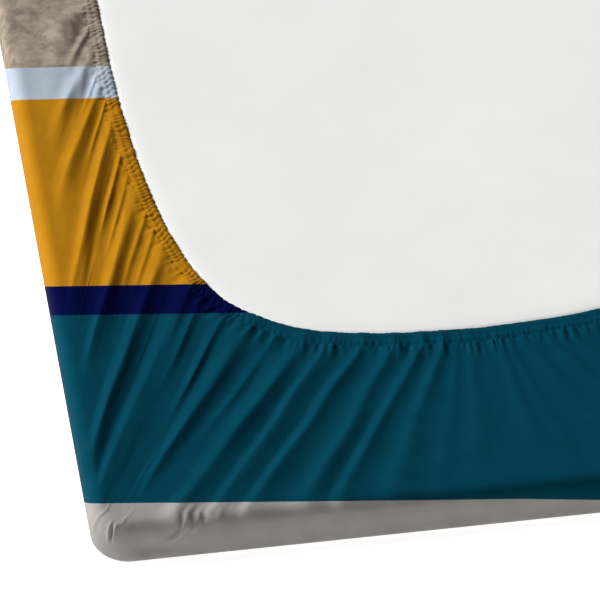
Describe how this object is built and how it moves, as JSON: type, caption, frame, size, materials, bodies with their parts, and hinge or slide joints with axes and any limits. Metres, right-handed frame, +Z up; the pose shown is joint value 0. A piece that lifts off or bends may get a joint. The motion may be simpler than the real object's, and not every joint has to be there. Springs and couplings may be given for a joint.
{
  "type": "fitted sheet on a mattress",
  "caption": "Striped fitted sheet with a gathered elastic hem, wrapped over the sides of a thin mattress that lies with its underside up.",
  "frame": {"origin": "centre of the sleeping face, on the surface it lies on", "axes": "+Y along the length, +X across the width, +Z up from the sleeping face to the underside with the gathered hem"},
  "size_m": [0.99, 1.905, 0.0657],
  "materials": {
    "sheet_cloth": "soft brushed weave in wide stripes of taupe, light blue, mustard, navy, teal and grey",
    "mattress_cover": "plain pale matt cover"
  },
  "bodies": {
    "root": {"fitted_sheet": "sheet_cloth", "mattress": "mattress_cover"}
  },
  "joints": []
}
